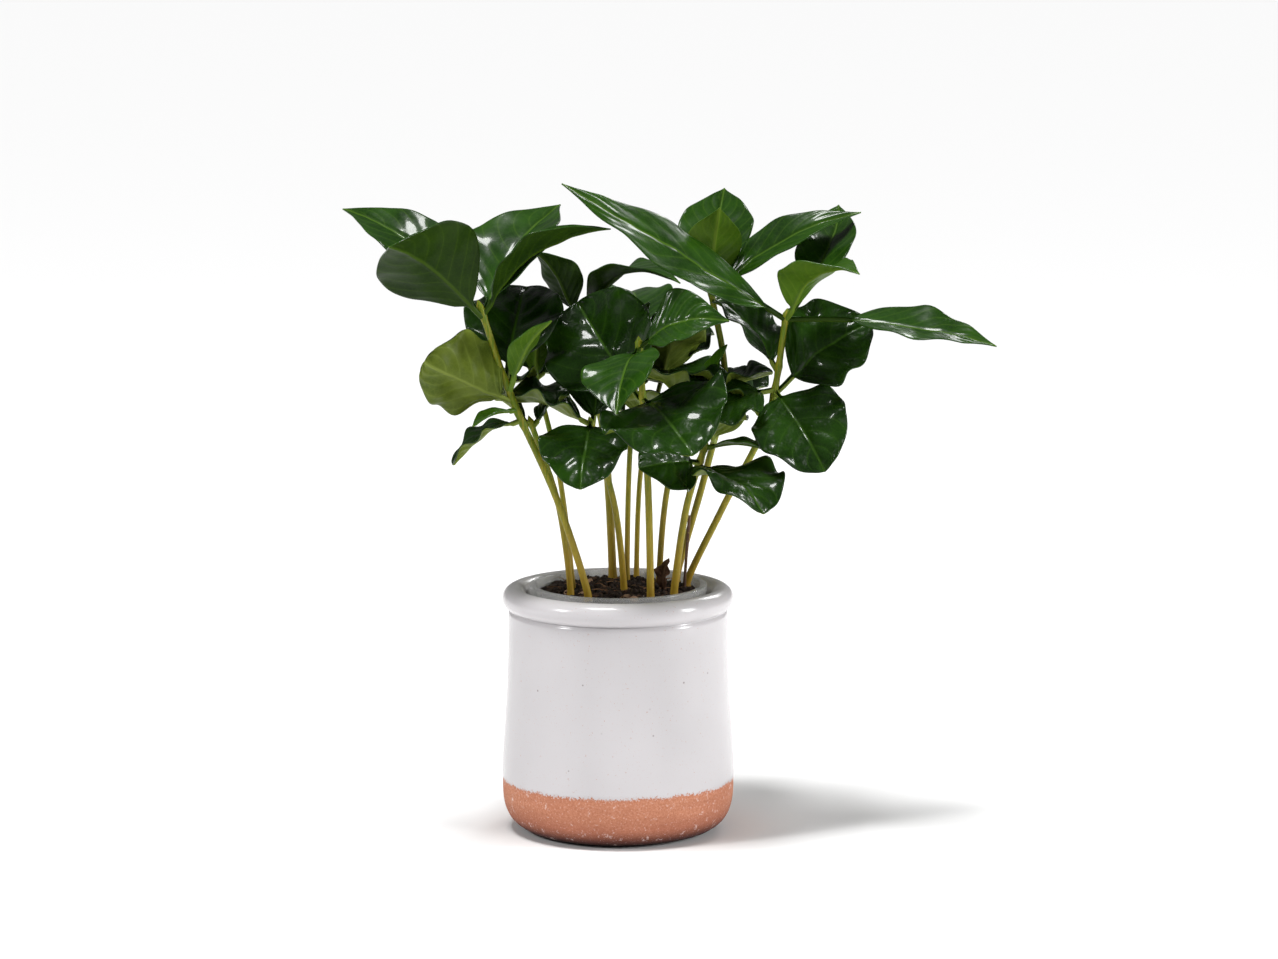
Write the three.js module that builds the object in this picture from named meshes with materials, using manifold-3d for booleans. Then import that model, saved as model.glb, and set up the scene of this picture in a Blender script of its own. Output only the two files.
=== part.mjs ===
// A clump of coffee seedlings in a clear nursery pot, standing inside a glazed terracotta pot.
// Millimetres, +Z up. The origin is the centre of the outer pot's flat base; the front of the plant faces -Y.
import * as THREE from "three";
import { mergeVertices } from "three/addons/utils/BufferGeometryUtils.js";
import Module from "manifold-3d";

// ---- Driving dimensions ------------------------------------------------------------------------
const POT_HEIGHT = 83; // floor to the top of the rolled rim
const POT_RIM_RADIUS = 39; // outside of the rolled rim
const POT_RIM_TUBE = 4; // radius of the rim's round section
const POT_NECK_RADIUS = 37; // under the rim
const POT_BELLY_RADIUS = 39.3; // widest, low down
const POT_BASE_RADIUS = 27.5; // flat part that stands on the table
const POT_CORNER_HEIGHT = 14.4; // height of the rounded corner between base and belly
const POT_NECK_DROP = 5.6; // from the rim's centre down to the neck
const POT_WALL = 4.5;
const POT_FLOOR = 6;

const MOUTH_CLEARANCE = 1; // nursery pot's rim to the outer pot's mouth
const RIM_PROUD = 0.6; // nursery pot's rim above the outer pot's
const NURSERY_WALL = 0.9;
const NURSERY_LIP = 1.4; // how far the rim stands out from the nursery pot's wall
const NURSERY_LIP_HEIGHT = 4;
const NURSERY_BASE_RADIUS = 22;
const DRAIN_HOLE_RADIUS = 2.5;
const DRAIN_HOLES = 5;
const DRAIN_RING_RADIUS = 13; // from the axis to each hole's centre

const SOIL_BELOW_RIM = 2.6; // soil surface below the nursery pot's rim
const PLANTING_MARGIN = 2.6; // stem centres stay this far inside the soil's edge
const ROOT_DEPTH = 12; // how deep each stem goes into the soil

const PLANT_HEIGHT = 141; // soil to the highest leaf tip
const STEM_THICKNESS = 2.5; // at the soil; single stems are thicker or thinner by a share of it
const STEM_TAPER = 0.8; // thickness at the top node as a share of that at the soil
const LEAF_THICKNESS = 0.5;
const PETIOLE_WIDTH = 1.5;

const GAP = 0.3; // between pieces that touch
const ROOT_CLEARANCE = 0.6; // around each stem in the soil
const DRILL_OVERRUN = 1; // how far a cutting tool runs past both faces
const STEM_COLLAR = 2; // each stem leaves the soil straight up for this far
const LAYOUT_HEIGHT = 141; // plant height that the seedlings' layout below is drawn for
const LAYOUT_RADIUS = 24.8; // planting radius that it is drawn for
const LEAN_HEIGHT = 45; // a stem has taken up any change in its root's place by this height
const GROWTH = PLANT_HEIGHT / LAYOUT_HEIGHT;

// ---- Materials ---------------------------------------------------------------------------------
function material(color, roughness, extra = {}) {
  return new THREE.MeshStandardMaterial({ color, roughness, metalness: 0, ...extra });
}
const glaze = material(0xdcd8d9, 0.25);
const clearPlastic = material(0xc9cccb, 0.2, { transparent: true, opacity: 0.5 });
const peat = material(0x2b211b, 0.95);
const greenStem = material(0x8a8a3c, 0.5);
const witheredStem = material(0x5a4330, 0.8);
const driedLeaf = material(0x6b4a30, 0.85);
const leafGreen = {
  seed: material(0x35501f, 0.3),
  true: material(0x2c4a1c, 0.25),
  young: material(0x8da03a, 0.35),
};

// ---- Turned pieces: the two pots and the soil --------------------------------------------------
function turned(path, arcSteps, sides) {
  const geometry = new THREE.LatheGeometry(path.getPoints(arcSteps), sides);
  return geometry.rotateX(Math.PI / 2);
}

// The rolled rim's centre, and the mouth inside it.
const rimCentreRadius = POT_RIM_RADIUS - POT_RIM_TUBE;
const rimCentreHeight = POT_HEIGHT - POT_RIM_TUBE;
const mouthRadius = rimCentreRadius - POT_RIM_TUBE;

function outerPotGeometry() {
  const neckHeight = rimCentreHeight - POT_NECK_DROP;
  const bellyPull = POT_HEIGHT * 0.4;
  const neckPull = POT_HEIGHT * 0.5;
  const innerBelly = POT_BELLY_RADIUS - POT_WALL;
  const innerNeck = POT_NECK_RADIUS - POT_WALL;
  const innerCorner = POT_CORNER_HEIGHT - POT_WALL;
  const rimStart = -Math.PI / 3;
  const rimEnd = (Math.PI * 7) / 6;
  const path = new THREE.Path();
  path.moveTo(0, 0);
  path.lineTo(POT_BASE_RADIUS, 0);
  path.quadraticCurveTo(POT_BELLY_RADIUS, 0, POT_BELLY_RADIUS, POT_CORNER_HEIGHT);
  path.bezierCurveTo(POT_BELLY_RADIUS, bellyPull, POT_NECK_RADIUS, neckPull, POT_NECK_RADIUS, neckHeight);
  path.absarc(rimCentreRadius, rimCentreHeight, POT_RIM_TUBE, rimStart, rimEnd, false);
  path.lineTo(innerNeck, neckHeight);
  path.bezierCurveTo(innerNeck, neckPull, innerBelly, bellyPull, innerBelly, POT_FLOOR + innerCorner);
  path.quadraticCurveTo(innerBelly, POT_FLOOR, innerBelly - innerCorner, POT_FLOOR);
  path.lineTo(0, POT_FLOOR);
  return turned(path, 5, 40);
}

const nurseryRimRadius = mouthRadius - MOUTH_CLEARANCE;
const nurseryWallRadius = nurseryRimRadius - NURSERY_LIP;
const nurseryFoot = POT_FLOOR + GAP;
const nurseryTop = POT_HEIGHT + RIM_PROUD;
const lipHeight = nurseryTop - NURSERY_LIP_HEIGHT;

// Radius of the nursery pot's outside at a height, below its lip.
function nurseryRadiusAt(height) {
  const share = (height - nurseryFoot) / (lipHeight - nurseryFoot);
  return THREE.MathUtils.lerp(NURSERY_BASE_RADIUS, nurseryWallRadius, Math.min(share, 1));
}

const soilFoot = nurseryFoot + NURSERY_WALL + GAP;
const soilTop = nurseryTop - SOIL_BELOW_RIM;
const soilTopRadius = nurseryWallRadius - NURSERY_WALL - GAP;
const plantingRadius = soilTopRadius - PLANTING_MARGIN;

function nurseryPotGeometry() {
  const innerFoot = nurseryFoot + NURSERY_WALL;
  const path = new THREE.Path();
  path.moveTo(0, nurseryFoot);
  path.lineTo(NURSERY_BASE_RADIUS, nurseryFoot);
  path.lineTo(nurseryWallRadius, lipHeight);
  path.lineTo(nurseryRimRadius, lipHeight);
  path.lineTo(nurseryRimRadius, nurseryTop);
  path.lineTo(nurseryWallRadius - NURSERY_WALL, nurseryTop);
  path.lineTo(nurseryWallRadius - NURSERY_WALL, lipHeight);
  path.lineTo(nurseryRadiusAt(innerFoot) - NURSERY_WALL, innerFoot);
  path.lineTo(0, innerFoot);
  return turned(path, 1, 40);
}

function soilGeometry() {
  const path = new THREE.Path();
  path.moveTo(0, soilFoot);
  path.lineTo(nurseryRadiusAt(soilFoot) - NURSERY_WALL - GAP, soilFoot);
  path.lineTo(soilTopRadius, lipHeight);
  path.lineTo(soilTopRadius, soilTop);
  path.lineTo(0, soilTop);
  return turned(path, 1, 40);
}

// ---- Cutting holes -----------------------------------------------------------------------------
const wasm = await Module();
wasm.setup();

function toSolid(geometry) {
  const bare = geometry.clone();
  bare.deleteAttribute("normal");
  bare.deleteAttribute("uv");
  const merged = mergeVertices(bare, 1e-4);
  const shape = { numProp: 3, vertProperties: merged.attributes.position.array,
    triVerts: new Uint32Array(merged.index.array) };
  return new wasm.Manifold(new wasm.Mesh(shape));
}

function toGeometry(solid) {
  const { vertProperties, triVerts } = solid.getMesh();
  const geometry = new THREE.BufferGeometry();
  geometry.setAttribute("position", new THREE.BufferAttribute(vertProperties, 3));
  geometry.setIndex(new THREE.BufferAttribute(triVerts, 1));
  geometry.computeVertexNormals();
  return geometry;
}

const DRILL_SIDES = 8;

function drill(geometry, holes) {
  let solid = toSolid(geometry);
  for (const { x, y, radius, from, to } of holes) {
    const drillBit = new THREE.CylinderGeometry(radius, radius, to - from + 2 * DRILL_OVERRUN, DRILL_SIDES);
    drillBit.rotateX(Math.PI / 2);
    drillBit.translate(x, y, (from + to) / 2);
    solid = solid.subtract(toSolid(drillBit));
  }
  return toGeometry(solid);
}

// ---- Stems -------------------------------------------------------------------------------------
const STEM_SIDES = 6;
const STEM_STEPS = 9;

// The stem's centre line: straight down into the soil, then through the seedling's own points.
function stemCurve({ root, path }) {
  const x = root[0] * plantingRadius;
  const y = root[1] * plantingRadius;
  const shift = plantingRadius - LAYOUT_RADIUS * GROWTH;
  const points = [];
  for (const height of [-ROOT_DEPTH, 0, STEM_COLLAR]) {
    points.push(new THREE.Vector3(x, y, soilTop + height));
  }
  for (const [px, py, height] of path) {
    const pull = shift * Math.max(1 - height / LEAN_HEIGHT, 0);
    points.push(new THREE.Vector3(px * GROWTH + root[0] * pull, py * GROWTH + root[1] * pull,
      soilTop + height * GROWTH));
  }
  return new THREE.CatmullRomCurve3(points, false, "centripetal");
}

function stemRadius(seedling, share) {
  return (seedling.thick * STEM_THICKNESS * THREE.MathUtils.lerp(1, STEM_TAPER, share)) / 2;
}

// A round bar bent along the centre line and thinned towards its top.
function stemGeometry(seedling) {
  const curve = stemCurve(seedling);
  const bar = new THREE.CylinderGeometry(1, 1, 1, STEM_SIDES, STEM_STEPS);
  bar.rotateX(Math.PI / 2);
  const position = bar.attributes.position;
  const up = new THREE.Vector3(0, 0, 1);
  const turn = new THREE.Quaternion();
  const point = new THREE.Vector3();
  for (let i = 0; i < position.count; i++) {
    const share = THREE.MathUtils.clamp(position.getZ(i) + 0.5, 0, 1);
    const radius = stemRadius(seedling, share);
    turn.setFromUnitVectors(up, curve.getTangent(share));
    point.set(position.getX(i) * radius, position.getY(i) * radius, 0).applyQuaternion(turn);
    point.add(curve.getPoint(share));
    position.setXYZ(i, point.x, point.y, point.z);
  }
  return bar;
}

// Where on the stem a leaf grows: the share of the curve at which it reaches that height above the soil.
function nodeOn(curve, height) {
  const target = soilTop + height * GROWTH;
  let low = 0;
  let high = 1;
  for (let i = 0; i < 30; i++) {
    const middle = (low + high) / 2;
    if (curve.getPoint(middle).z < target) low = middle;
    else high = middle;
  }
  return { share: low, point: curve.getPoint(low) };
}

// ---- Leaves ------------------------------------------------------------------------------------
const LEAF_STEPS = 7;
const LEAF_ROWS = 4;

// Half width of each kind of leaf along its length, as a share of its greatest: a round seed leaf,
// a true leaf with a drawn-out tip, and a young leaf still narrow.
const SEED_LEAF_WIDEST = 0.42;

function seedLeafShape(u) {
  if (u < SEED_LEAF_WIDEST) return Math.sin((Math.PI / 2) * (u / SEED_LEAF_WIDEST)) ** 0.8;
  const share = (u - SEED_LEAF_WIDEST) / (1 - SEED_LEAF_WIDEST);
  return Math.max(Math.cos((Math.PI / 2) * share), 0) ** 0.5;
}

const leafShape = {
  seed: seedLeafShape,
  true: (u) => Math.sin(Math.PI * u ** 0.85) ** 1.15,
  young: (u) => Math.sin(Math.PI * u ** 0.85),
};

// A thin blade along +X from its petiole: arched, folded along its midrib and cupped at its margins.
function leafGeometry({ kind, length, width, petiole = 0.06, arch = 0.1, fold = 10, cup = 0.1, sway = 0 }) {
  const blade = new THREE.BoxGeometry(1, 2, LEAF_THICKNESS, LEAF_STEPS, LEAF_ROWS, 1);
  const position = blade.attributes.position;
  const foldAngle = THREE.MathUtils.degToRad(fold);
  const long = length * GROWTH;
  for (let i = 0; i < position.count; i++) {
    const u = THREE.MathUtils.clamp(position.getX(i) + 0.5, 0, 1);
    const v = position.getY(i);
    const alongBlade = Math.max(u - petiole, 0) / (1 - petiole);
    const spread = Math.max(leafShape[kind](alongBlade), 0);
    const half = PETIOLE_WIDTH / 2 + spread * ((width * GROWTH) / 2 - PETIOLE_WIDTH / 2);
    const bow = 4 * u * (1 - u);
    position.setXYZ(i,
      u * long,
      v * half * Math.cos(foldAngle) + sway * long * bow,
      arch * long * bow + half * (Math.abs(v) * Math.sin(foldAngle) + cup * v * v) + position.getZ(i));
  }
  return blade;
}

// Heading turns about +Z from +X, rise lifts the tip above level, and roll turns the blade about its length.
function placeLeaf(mesh, seedling, leaf) {
  const curve = stemCurve(seedling);
  const { share, point } = nodeOn(curve, leaf.at);
  const heading = THREE.MathUtils.degToRad(leaf.heading);
  const rise = THREE.MathUtils.degToRad(leaf.rise);
  const roll = THREE.MathUtils.degToRad(leaf.roll ?? 0);
  const away = stemRadius(seedling, share) + GAP + LEAF_THICKNESS;
  mesh.position.copy(point);
  mesh.position.x += Math.cos(heading) * away;
  mesh.position.y += Math.sin(heading) * away;
  mesh.rotation.set(roll, -rise, heading, "ZYX");
}

// ---- The seedlings -----------------------------------------------------------------------------
// root: place in the soil, in shares of the planting radius. path: where the stem goes, x, y and height above
// the soil. Each leaf: the height it grows at, heading and rise in degrees, length and width.
const seedlings = [
  { name: "far_left", thick: 1.05, root: [-0.4, -0.8],
    path: [[-20, -25, 35], [-35, -28, 70], [-45, -30, 100]],
    leaves: [
      { name: "seed_leaf_left", kind: "seed", at: 69, heading: 200, rise: 26, length: 31, width: 32,
        petiole: 0.08, fold: 12, arch: -0.04, roll: 60 },
      { name: "seed_leaf_back", kind: "seed", at: 75, heading: 78, rise: 44, length: 40, width: 34,
        petiole: 0.14 },
      { name: "low_leaf_left", kind: "seed", at: 61, heading: 190, rise: -32, length: 25, width: 18 },
      { name: "young_leaf_right", kind: "young", at: 73, heading: -40, rise: 53, length: 29, width: 13,
        petiole: 0.12 },
      { name: "young_leaf_left", kind: "young", at: 65, heading: 220, rise: -12, length: 17, width: 8 },
      { name: "top_leaf_front", kind: "true", at: 97, heading: 232, rise: 30, length: 51, width: 36,
        arch: 0.14, roll: 42 },
      { name: "top_leaf_left", kind: "true", at: 98, heading: 148, rise: 30, length: 62, width: 22,
        arch: 0.14, roll: -30 },
      { name: "top_leaf_back", kind: "true", at: 98, heading: 54, rise: 38, length: 52, width: 34 },
      { name: "top_leaf_right", kind: "true", at: 98, heading: -6, rise: 34, length: 49, width: 22,
        fold: 25, arch: 0.15 },
    ] },
  { name: "left_front", thick: 0.95, root: [-0.64, -0.38],
    path: [[-20, -12, 32], [-29, -15, 60]],
    leaves: [
      { name: "seed_leaf_right", kind: "seed", at: 59, heading: 20, rise: 40, length: 15, width: 14 },
      { name: "seed_leaf_back", kind: "seed", at: 59, heading: 172, rise: 40, length: 20, width: 16 },
    ] },
  { name: "left_rear", thick: 0.85, root: [-0.62, 0],
    path: [[-20, 5, 40], [-28, 8, 73]],
    leaves: [
      { name: "seed_leaf_back", kind: "seed", at: 72, heading: 125, rise: 38, length: 36, width: 33 },
      { name: "seed_leaf_right", kind: "seed", at: 72, heading: 10, rise: 28, length: 24, width: 20,
        roll: 20 },
    ] },
  { name: "rear_left", thick: 1.25, root: [-0.08, 0.9],
    path: [[-5, 25, 50], [-13, 20, 93]],
    leaves: [
      { name: "top_leaf_left", kind: "true", at: 92, heading: 190, rise: 58, length: 25, width: 18,
        roll: 40 },
      { name: "top_leaf_right", kind: "true", at: 92, heading: -33, rise: 18, length: 40, width: 26,
        arch: 0.22 },
      { name: "seed_leaf_back", kind: "seed", at: 58, heading: 120, rise: 25, length: 40, width: 36 },
    ] },
  { name: "mid_left", thick: 1, root: [0.08, -0.2],
    path: [[-1, -9, 30], [-9, -17, 60]],
    leaves: [
      { name: "seed_leaf_front", kind: "seed", at: 59, heading: -98, rise: -38, length: 29, width: 30 },
      { name: "seed_leaf_back", kind: "seed", at: 59, heading: 72, rise: 55, length: 38, width: 25 },
    ] },
  { name: "rear_mid", thick: 0.85, root: [0.12, 0.55],
    path: [[4, 18, 45], [8, 20, 87]],
    leaves: [
      { name: "top_leaf_front", kind: "true", at: 86, heading: 225, rise: 35, length: 22, width: 18 },
      { name: "top_leaf_right", kind: "true", at: 86, heading: -15, rise: 22, length: 24, width: 16 },
      { name: "top_leaf_back", kind: "true", at: 86, heading: 95, rise: 12, length: 42, width: 26 },
    ] },
  { name: "rear_right", thick: 0.8, root: [0.25, 0.94],
    path: [[8, 25, 40], [15, 20, 71]],
    leaves: [
      { name: "seed_leaf_front", kind: "seed", at: 70, heading: -75, rise: 48, length: 27, width: 28 },
    ] },
  { name: "centre_front", thick: 1.1, root: [0.44, -0.8],
    path: [[10, -23, 40], [7, -29, 88]],
    leaves: [
      { name: "seed_leaf_front", kind: "seed", at: 68, heading: -65, rise: -20, length: 38, width: 44,
        roll: 20 },
      { name: "seed_leaf_back", kind: "seed", at: 69, heading: 130, rise: 42, length: 43, width: 40,
        roll: -52 },
      { name: "top_leaf_right", kind: "true", at: 87, heading: -22, rise: 17, length: 31, width: 24,
        arch: 0.2, roll: 45 },
      { name: "top_leaf_left", kind: "true", at: 85, heading: 255, rise: -33, length: 32, width: 29,
        roll: 15 },
    ] },
  { name: "centre", thick: 0.95, root: [0.56, 0.36],
    path: [[18, 6, 40], [31, 0, 67]],
    leaves: [
      { name: "young_leaf_up", kind: "young", at: 66, heading: 20, rise: 75, length: 18, width: 12 },
    ] },
  { name: "right_front", thick: 1.1, root: [0.76, -0.48],
    path: [[23, -17, 32], [29, -22, 53]],
    leaves: [
      { name: "seed_leaf_left", kind: "seed", at: 47, heading: 224, rise: 2, length: 26, width: 24,
        petiole: 0.14, roll: -60 },
      { name: "seed_leaf_right", kind: "seed", at: 45, heading: -50, rise: -20, length: 33, width: 34 },
      { name: "young_leaf_left", kind: "young", at: 53, heading: 190, rise: 28, length: 12, width: 7 },
      { name: "young_leaf_right", kind: "young", at: 52, heading: -18, rise: 0, length: 20, width: 9 },
    ] },
  { name: "right_rear", thick: 1.05, root: [0.8, 0.58],
    path: [[30, 12, 40], [36, 7, 70], [31, 5, 102]],
    leaves: [
      { name: "top_leaf_right", kind: "true", at: 101, heading: -3, rise: 29, length: 55, width: 17,
        roll: 35 },
      { name: "top_leaf_back", kind: "true", at: 101, heading: 80, rise: 50, length: 42, width: 26,
        petiole: 0.12 },
      { name: "top_leaf_front", kind: "true", at: 101, heading: -80, rise: 66, length: 32, width: 20 },
      { name: "seed_leaf_back", kind: "seed", at: 56, heading: 88, rise: 18, length: 38, width: 34 },
    ] },
  { name: "far_right", thick: 1.05, root: [0.94, 0.2],
    path: [[35, 0, 28], [50, -7, 60], [56, -9, 95]],
    leaves: [
      { name: "seed_leaf_front", kind: "seed", at: 68, heading: -56, rise: -40, length: 35, width: 33,
        roll: 30 },
      { name: "seed_leaf_left", kind: "seed", at: 69, heading: 208, rise: -18, length: 33, width: 31,
        petiole: 0.12, roll: -22 },
      { name: "low_leaf_right", kind: "seed", at: 69.5, heading: 4, rise: 37, length: 37, width: 35,
        roll: 50, petiole: 0.16 },
      { name: "low_leaf_back", kind: "seed", at: 77, heading: 143, rise: 42, length: 32, width: 24 },
      { name: "top_leaf_right", kind: "true", at: 93, heading: -12, rise: -6, length: 69, width: 22,
        petiole: 0.28, arch: 0.05, roll: 20, fold: 4 },
      { name: "top_leaf_left", kind: "true", at: 94, heading: 201, rise: 31, length: 90, width: 27,
        arch: 0.01, roll: -38, fold: 0, cup: 0 },
      { name: "top_leaf_front", kind: "true", at: 94, heading: -52, rise: 26, length: 39, width: 26,
        arch: 0.2 },
      { name: "top_leaf_back", kind: "true", at: 94, heading: 58, rise: 46, length: 48, width: 22,
        petiole: 0.2, sway: -0.14 },
    ] },
];

// A seedling that died back to a bare stick, and a leaf that dried up beside it.
const withered = { name: "withered", thick: 0.5, root: [0.9, -0.12], path: [[24, -1, 26]] };
const DRIED_LEAF = { kind: "young", length: 11, width: 5, arch: 0.15, fold: 20 };
const driedLeafPlace = { root: [0.62, -0.2], heading: 60, rise: 72 };

// ---- Assembly ----------------------------------------------------------------------------------
function piece(name, geometry, finish) {
  const mesh = new THREE.Mesh(geometry, finish);
  mesh.name = name;
  return mesh;
}

const pottedPlant = new THREE.Group();
const stemmed = [...seedlings, withered];

pottedPlant.add(piece("outer_pot", outerPotGeometry(), glaze));

const drainHoles = [];
for (let i = 0; i < DRAIN_HOLES; i++) {
  const angle = (i * 2 * Math.PI) / DRAIN_HOLES;
  drainHoles.push({
    x: DRAIN_RING_RADIUS * Math.cos(angle),
    y: DRAIN_RING_RADIUS * Math.sin(angle),
    radius: DRAIN_HOLE_RADIUS,
    from: nurseryFoot,
    to: nurseryFoot + NURSERY_WALL,
  });
}
pottedPlant.add(piece("nursery_pot", drill(nurseryPotGeometry(), drainHoles), clearPlastic));

const plantingHoles = stemmed.map((seedling) => ({
  x: seedling.root[0] * plantingRadius,
  y: seedling.root[1] * plantingRadius,
  radius: stemRadius(seedling, 0) + ROOT_CLEARANCE,
  from: soilTop - ROOT_DEPTH - GAP + DRILL_OVERRUN,
  to: soilTop,
}));
pottedPlant.add(piece("potting_soil", drill(soilGeometry(), plantingHoles), peat));

for (const seedling of seedlings) {
  pottedPlant.add(piece(seedling.name + "_stem", stemGeometry(seedling), greenStem));
  for (const leaf of seedling.leaves) {
    const mesh = piece(seedling.name + "_" + leaf.name, leafGeometry(leaf), leafGreen[leaf.kind]);
    placeLeaf(mesh, seedling, leaf);
    pottedPlant.add(mesh);
  }
}
pottedPlant.add(piece("withered_stem", stemGeometry(withered), witheredStem));

const dried = piece("dried_leaf", leafGeometry(DRIED_LEAF), driedLeaf);
dried.position.set(driedLeafPlace.root[0] * plantingRadius, driedLeafPlace.root[1] * plantingRadius,
  soilTop + GAP + PETIOLE_WIDTH / 2);
dried.rotation.set(0, -THREE.MathUtils.degToRad(driedLeafPlace.rise),
  THREE.MathUtils.degToRad(driedLeafPlace.heading), "ZYX");
pottedPlant.add(dried);

export default pottedPlant;
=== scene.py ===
import math
import random

import bpy
from mathutils import Matrix, Vector, noise


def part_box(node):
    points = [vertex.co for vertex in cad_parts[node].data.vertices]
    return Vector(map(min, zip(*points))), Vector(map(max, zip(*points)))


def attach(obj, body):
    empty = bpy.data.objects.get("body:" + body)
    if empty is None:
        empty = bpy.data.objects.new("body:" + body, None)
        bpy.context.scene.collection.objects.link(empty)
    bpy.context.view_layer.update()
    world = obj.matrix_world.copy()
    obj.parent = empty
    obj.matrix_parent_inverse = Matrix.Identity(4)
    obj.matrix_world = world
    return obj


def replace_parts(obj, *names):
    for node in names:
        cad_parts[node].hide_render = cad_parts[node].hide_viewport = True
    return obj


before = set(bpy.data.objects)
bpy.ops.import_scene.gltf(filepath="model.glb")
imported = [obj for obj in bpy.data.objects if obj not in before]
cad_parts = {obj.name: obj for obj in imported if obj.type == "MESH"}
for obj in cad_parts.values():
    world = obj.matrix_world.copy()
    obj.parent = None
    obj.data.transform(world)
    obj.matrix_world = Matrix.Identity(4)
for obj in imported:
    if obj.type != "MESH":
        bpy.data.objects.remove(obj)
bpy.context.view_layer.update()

MM = 0.001

# ---- Table top, lights and camera -----------------------------------------------------------------
# A pale seamless table under three large soft boxes, seen from the front and slightly above.
TABLE_SIZE = 30
TABLE_GAP = 0.2 * MM


def new_material(name):
    material = bpy.data.materials.new(name)
    material.use_nodes = True
    tree = material.node_tree
    return material, tree, tree.nodes["Principled BSDF"]


bpy.ops.object.select_all(action="DESELECT")
bpy.ops.mesh.primitive_plane_add(size=TABLE_SIZE, location=(0, 0, -TABLE_GAP))
table_top = bpy.context.object
table_top.name = "table_top"
paint, tree, shader = new_material("pale_table")
shader.inputs["Base Color"].default_value = (0.88, 0.88, 0.88, 1)
shader.inputs["Roughness"].default_value = 0.9
shader.inputs["Specular IOR Level"].default_value = 0.1
table_top.data.materials.append(paint)

AIM = Vector((0.00706, 0, 0.119))
CAMERA_DISTANCE = 1.4
CAMERA_TILT = math.radians(8.6)
CAMERA_LENS = 117.4
CAMERA_SENSOR = 36
eye = AIM + CAMERA_DISTANCE * Vector((0, -math.cos(CAMERA_TILT), math.sin(CAMERA_TILT)))
bpy.ops.object.camera_add(location=eye, rotation=(math.pi / 2 - CAMERA_TILT, 0, 0))
camera = bpy.context.object
camera.name = "camera"
camera.data.lens = CAMERA_LENS
camera.data.sensor_width = CAMERA_SENSOR
bpy.context.scene.camera = camera


def soft_box(name, place, size, power):
    bpy.ops.object.light_add(type="AREA", location=place)
    lamp = bpy.context.object
    lamp.name = name
    lamp.data.shape = "RECTANGLE"
    lamp.data.size, lamp.data.size_y = size
    lamp.data.energy = power
    lamp.rotation_euler = (AIM - Vector(place)).to_track_quat("-Z", "Y").to_euler()


soft_box("key_soft_box", (-1.10, -0.60, 0.80), (0.16, 0.28), 7)
soft_box("fill_soft_box", (1.20, -0.32, 0.46), (0.15, 0.44), 10)
soft_box("back_soft_box", (0.45, 0.95, 0.72), (0.30, 0.20), 2.2)

# High, wide and even, so that the table is white all the way back.
CEILING_LEAN = (math.radians(10), math.radians(-8), 0)
bpy.ops.object.light_add(type="SUN", location=(0, 0, 2), rotation=CEILING_LEAN)
ceiling = bpy.context.object
ceiling.name = "ceiling_light"
ceiling.data.energy = 3.1
ceiling.data.angle = math.radians(16)

studio = bpy.data.worlds.new("studio")
studio.use_nodes = True
backdrop = studio.node_tree.nodes["Background"]
backdrop.inputs["Color"].default_value = (1, 1, 1, 1)
backdrop.inputs["Strength"].default_value = 0.16
bpy.context.scene.world = studio
bpy.context.scene.view_settings.view_transform = "Standard"

# ---- Outer pot ------------------------------------------------------------------------------------
# Thrown terracotta with a thick rolled rim. It was dipped mouth down in a grey-white glaze, which
# stops in a ragged line near the foot; below that the clay is bare, with splashes of glaze on it.
pot_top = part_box("outer_pot")[1][2]
RIM_RADIUS = 39 * MM
RIM_TUBE = 4 * MM
NECK_RADIUS = 37 * MM
BELLY_RADIUS = 39.3 * MM
BASE_RADIUS = 27.5 * MM
POT_WALL = 4.5 * MM
POT_FLOOR = 6 * MM
CORNER_HEIGHT = 14.4 * MM
CREASE_DEPTH = 0.1 * MM
CREASE_HEIGHT = 1.3 * MM
GLAZE_LINE = 17.7 * MM
GLAZE_RAGGED = 0.45 * MM
GLAZE_EDGE = 1.9 * MM
GLAZE_THICKNESS = 0.22 * MM
WHEEL_RINGS = 0.10 * MM
CLAY_GRAIN = 0.05 * MM
# How high the painted shade at the pot's foot reaches.
FOOT_SHADE_HEIGHT = 12 * MM
# The rim's bead, in degrees from outside just over the neck, over the top and down to the inner wall.
RIM_START, RIM_END = -74, 210
RIM_STEPS = 30
# How strongly a fine speckle breaks up the glaze's edge, and the band of the sum that is the edge.
FRAY = 3.4
FRAY_LOW, FRAY_HIGH = 2.10, 2.28
rim_centre = RIM_RADIUS - RIM_TUBE
rim_height = pot_top - RIM_TUBE
neck_height = rim_height - 1.4 * RIM_TUBE
belly_bend = pot_top * 0.4
neck_bend = pot_top * 0.5


def bezier(*controls, steps=12):
    """Points along a Bezier of any order, without its first point."""
    points = []
    for i in range(1, steps + 1):
        t = i / steps
        level = [Vector(c) for c in controls]
        while len(level) > 1:
            level = [a.lerp(b, t) for a, b in zip(level, level[1:])]
        points.append(tuple(level[0]))
    return points


def lathe(name, profile, steps):
    """A closed turned piece: the outline, radius and height from axis to axis, spun about +Z."""
    bpy.ops.object.select_all(action="DESELECT")
    mesh = bpy.data.meshes.new(name)
    edges = [(i, i + 1) for i in range(len(profile) - 1)]
    mesh.from_pydata([(r, 0, z) for r, z in profile], edges, [])
    piece = bpy.data.objects.new(name, mesh)
    bpy.context.collection.objects.link(piece)
    bpy.context.view_layer.objects.active = piece
    piece.select_set(True)
    bpy.ops.object.mode_set(mode="EDIT")
    bpy.ops.mesh.select_all(action="SELECT")
    bpy.ops.mesh.spin(steps=steps, angle=2 * math.pi, center=(0, 0, 0), axis=(0, 0, 1))
    bpy.ops.mesh.select_all(action="SELECT")
    bpy.ops.mesh.remove_doubles(threshold=1e-6)
    bpy.ops.mesh.normals_make_consistent(inside=False)
    bpy.ops.object.mode_set(mode="OBJECT")
    bpy.ops.object.shade_smooth()
    return piece


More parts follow.
